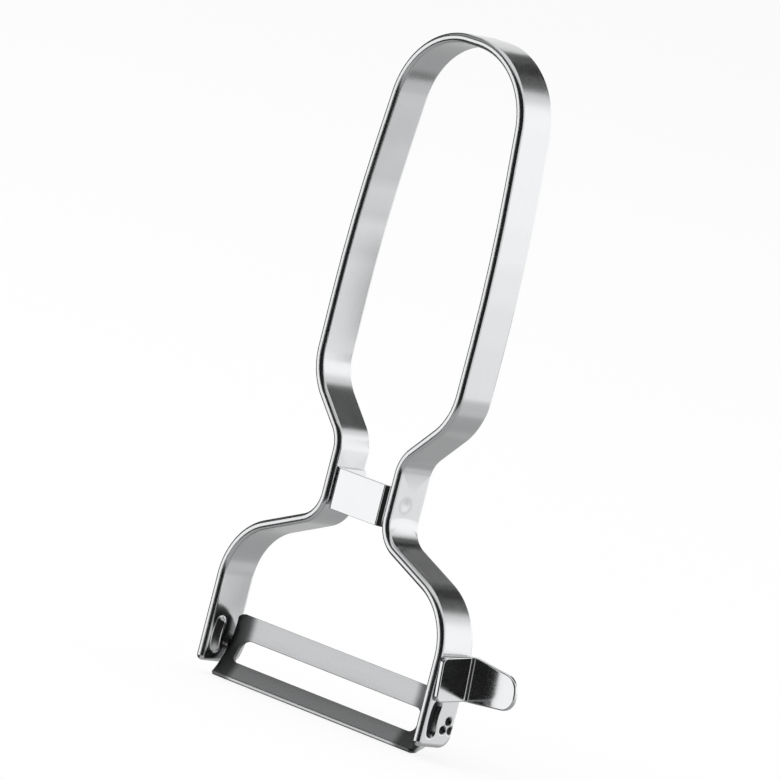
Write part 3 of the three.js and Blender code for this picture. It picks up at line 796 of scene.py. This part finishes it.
blade_mesh.transform(Matrix.Translation(pivot) @ Matrix.Rotation(-BLADE_LEAN, 4, "X"))
blade = bpy.data.objects.new("stamped_blade", blade_mesh)
bpy.context.scene.collection.objects.link(blade)
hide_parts("swivel_blade")
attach(blade, "blade")

# Studio
# A white matt floor that takes the shadow, a white surround, and the panels of a product studio,
# which only the steel sees: white ones for its bright faces, dark ones for its black lines, and two
# small grey cards close behind it for the soft streak in the handle and the grey of the left leg.
MIDDLE = Vector((0, 0, LEG_ENDS / 2))
FLOOR_HALF = 9
FLOOR_DROP = 0.2 * MM
FLOOR_WHITENESS = 0.85
BELOW_HALF = 60
BELOW_DROP = 8
BELOW_NEAR, BELOW_FAR = 9.0, 58.0
BELOW_NEAR_TONE, BELOW_FAR_TONE = 0.5, 1.0
SURROUND_LIGHT = 0.75
SOFTBOX_SIZE = 1.2
SOFTBOX_WATTS = 14
SOFTBOX_PLACE = Vector((-0.5, -0.4, 1.6))
SOFTBOX_AIM = Vector((0, 0, -0.1))
scene = bpy.context.scene
scene.view_settings.view_transform = "Standard"


def seen_white(tree):
    """1 for the rays that see a backdrop as it is: from the camera, in gloss and through glass."""
    path = add_node(tree, "ShaderNodeLightPath")
    some = add_node(tree, "ShaderNodeMath", {
        0: path.outputs["Is Camera Ray"], 1: path.outputs["Is Glossy Ray"]}, operation="MAXIMUM")
    every = add_node(tree, "ShaderNodeMath", {
        0: some.outputs[0], 1: path.outputs["Is Transmission Ray"]}, operation="MAXIMUM")
    return every.outputs[0]


def studio_sheet(name, half_width, half_height, material):
    """A four-cornered sheet round its own middle."""
    mesh = bpy.data.meshes.new(name)
    w, h = half_width, half_height
    mesh.from_pydata([(-w, -h, 0), (w, -h, 0), (w, h, 0), (-w, h, 0)], [], [(0, 1, 2, 3)])
    mesh.materials.append(material)
    sheet = bpy.data.objects.new(name, mesh)
    scene.collection.objects.link(sheet)
    return sheet


def glowing(name):
    """A material that only glows, and the node that gives its strength."""
    material = bpy.data.materials.new(name)
    material.use_nodes = True
    tree = material.node_tree
    tree.nodes.remove(tree.nodes["Principled BSDF"])
    glow = add_node(tree, "ShaderNodeEmission")
    tree.links.new(glow.outputs[0], tree.nodes["Material Output"].inputs[0])
    return material, glow


def only_in_gloss(sheet):
    """Leaves a sheet to the steel's reflections alone."""
    sheet.visible_camera = False
    sheet.visible_shadow = False
    sheet.visible_diffuse = False


def panel(name, distance, azimuth, elevation, width, height, strength):
    """A flat panel that faces the peeler's middle, with its sizes in degrees as seen from there."""
    material, glow = glowing(name)
    glow.inputs["Strength"].default_value = strength
    half_width = distance * math.tan(math.radians(width) / 2)
    half_height = distance * math.tan(math.radians(height) / 2)
    card = studio_sheet(name, half_width, half_height, material)
    a, e = math.radians(azimuth), math.radians(elevation)
    out = Vector((math.cos(a) * math.cos(e), math.sin(a) * math.cos(e), math.sin(e)))
    facing = out.to_track_quat("-Z", "Y").to_matrix().to_4x4()
    card.matrix_world = Matrix.Translation(MIDDLE + out * distance) @ facing
    only_in_gloss(card)


# Seen in the dark lines of the rims and in the eye remover.
panel("dark_left", 4.6, -155, 0, 120, 110, 0.05)
panel("dark_camera_side", 4.3, -48, 18.5, 90, 81, 0.02)
# The grey one is seen in the blade's front bar, the white one in its back bar and the front rims.
panel("grey_up_left", 4.0, -150, 38, 44, 22, 0.4)
panel("white_front_left", 4.0, -133, -6, 52, 36, 1.4)
# Seen in the broad faces of the strip.
panel("white_back", 4.0, 84, 15, 100, 34, 1.5)
panel("pale_low_back", 4.0, 78, -6, 100, 8, 1.3)
panel("pale_far_back", 3.7, 131, 10, 22, 40, 0.95)
panel("pale_under_back", 4.0, 56, -20, 16, 14, 0.82)
panel("dark_high_back", 3.6, 95, 41, 44, 26, 0.09)
panel("black_high_back", 3.5, 97, 41, 14, 24, 0.01)
# Close behind the peeler.
panel("grey_by_handle", 0.072, 66, 3, 13, 14, 0.15)
panel("grey_by_leg", 0.09, 70, -36, 12, 20, 0.6)

# White card, matt: no gloss at all, so that it shows nothing but the peeler's shadow.
floor_material = bpy.data.materials.new("white matt floor")
floor_material.use_nodes = True
tree = floor_material.node_tree
card_shader = tree.nodes["Principled BSDF"]
card_shader.inputs["Base Color"].default_value = linear("#F4F4F4")
card_shader.inputs["Roughness"].default_value = 0.9
card_shader.inputs["Specular IOR Level"].default_value = 0.0
glow = add_node(tree, "ShaderNodeEmission", {"Strength": 1.0})
share = add_node(tree, "ShaderNodeMath", {
    0: seen_white(tree), 1: FLOOR_WHITENESS}, operation="MULTIPLY")
blend = add_node(tree, "ShaderNodeMixShader", {
    0: share.outputs[0], 1: card_shader.outputs[0], 2: glow.outputs[0]})
tree.links.new(blend.outputs[0], tree.nodes["Material Output"].inputs[0])
floor = studio_sheet("floor", FLOOR_HALF, FLOOR_HALF, floor_material)
floor.location = (0, 0, cad_box[0][2] - FLOOR_DROP)
floor.visible_glossy = False

# What the steel sees below it in the floor's stead: grey underneath, paler towards the horizon.
below_material, glow = glowing("grey_below")
tree = below_material.node_tree
spot = add_node(tree, "ShaderNodeTexCoord")
away = add_node(tree, "ShaderNodeVectorMath", {0: spot.outputs["Object"]}, operation="LENGTH")
paler = add_node(tree, "ShaderNodeMapRange", {
    "Value": away.outputs["Value"], "From Min": BELOW_NEAR, "From Max": BELOW_FAR,
    "To Min": BELOW_NEAR_TONE, "To Max": BELOW_FAR_TONE})
tree.links.new(paler.outputs[0], glow.inputs["Strength"])
below = studio_sheet("grey_below", BELOW_HALF, BELOW_HALF, below_material)
below.location = (0, 0, -BELOW_DROP)
only_in_gloss(below)

world = bpy.data.worlds.new("white surround")
scene.world = world
world.use_nodes = True
tree = world.node_tree
strength = add_node(tree, "ShaderNodeMapRange", {
    "Value": seen_white(tree), "To Min": SURROUND_LIGHT, "To Max": 1.0})
tree.links.new(strength.outputs[0], tree.nodes["Background"].inputs["Strength"])
tree.nodes["Background"].inputs["Color"].default_value = (1, 1, 1, 1)

softbox_data = bpy.data.lights.new("overhead softbox", "AREA")
softbox_data.shape = "RECTANGLE"
softbox_data.size = SOFTBOX_SIZE
softbox_data.size_y = SOFTBOX_SIZE
softbox_data.energy = SOFTBOX_WATTS
softbox = bpy.data.objects.new("overhead softbox", softbox_data)
softbox.location = SOFTBOX_PLACE
softbox.rotation_euler = (SOFTBOX_AIM - SOFTBOX_PLACE).to_track_quat("-Z", "Y").to_euler()
softbox.visible_glossy = False
scene.collection.objects.link(softbox)

# Camera
# A long lens from the front right, a little above the peeler and rolled, as in the photograph.
# Its place and direction come from fitting the strip's rim to it.
LENS_PIXELS = 8990.2
FRAME_PIXELS = 780
SENSOR_WIDTH_MM = 36
CAMERA_PLACE = Vector((1152.07, -1247.12, 240.78)) * MM + Vector((0, 0, LEG_ENDS))
VIEW_WAY = Vector((-0.67562, 0.72973, -0.105))
VIEW_RIGHT = Vector((0.69331, 0.67732, 0.24609))
camera_data = bpy.data.cameras.new("camera")
camera_data.sensor_width = SENSOR_WIDTH_MM
camera_data.lens = LENS_PIXELS / FRAME_PIXELS * SENSOR_WIDTH_MM
camera_data.clip_end = 60
camera = bpy.data.objects.new("camera", camera_data)
back = -VIEW_WAY.normalized()
right = VIEW_RIGHT.normalized()
up = back.cross(right)
turned = Matrix((right, up, back)).transposed().to_4x4()
camera.matrix_world = Matrix.Translation(CAMERA_PLACE) @ turned
scene.collection.objects.link(camera)
scene.camera = camera
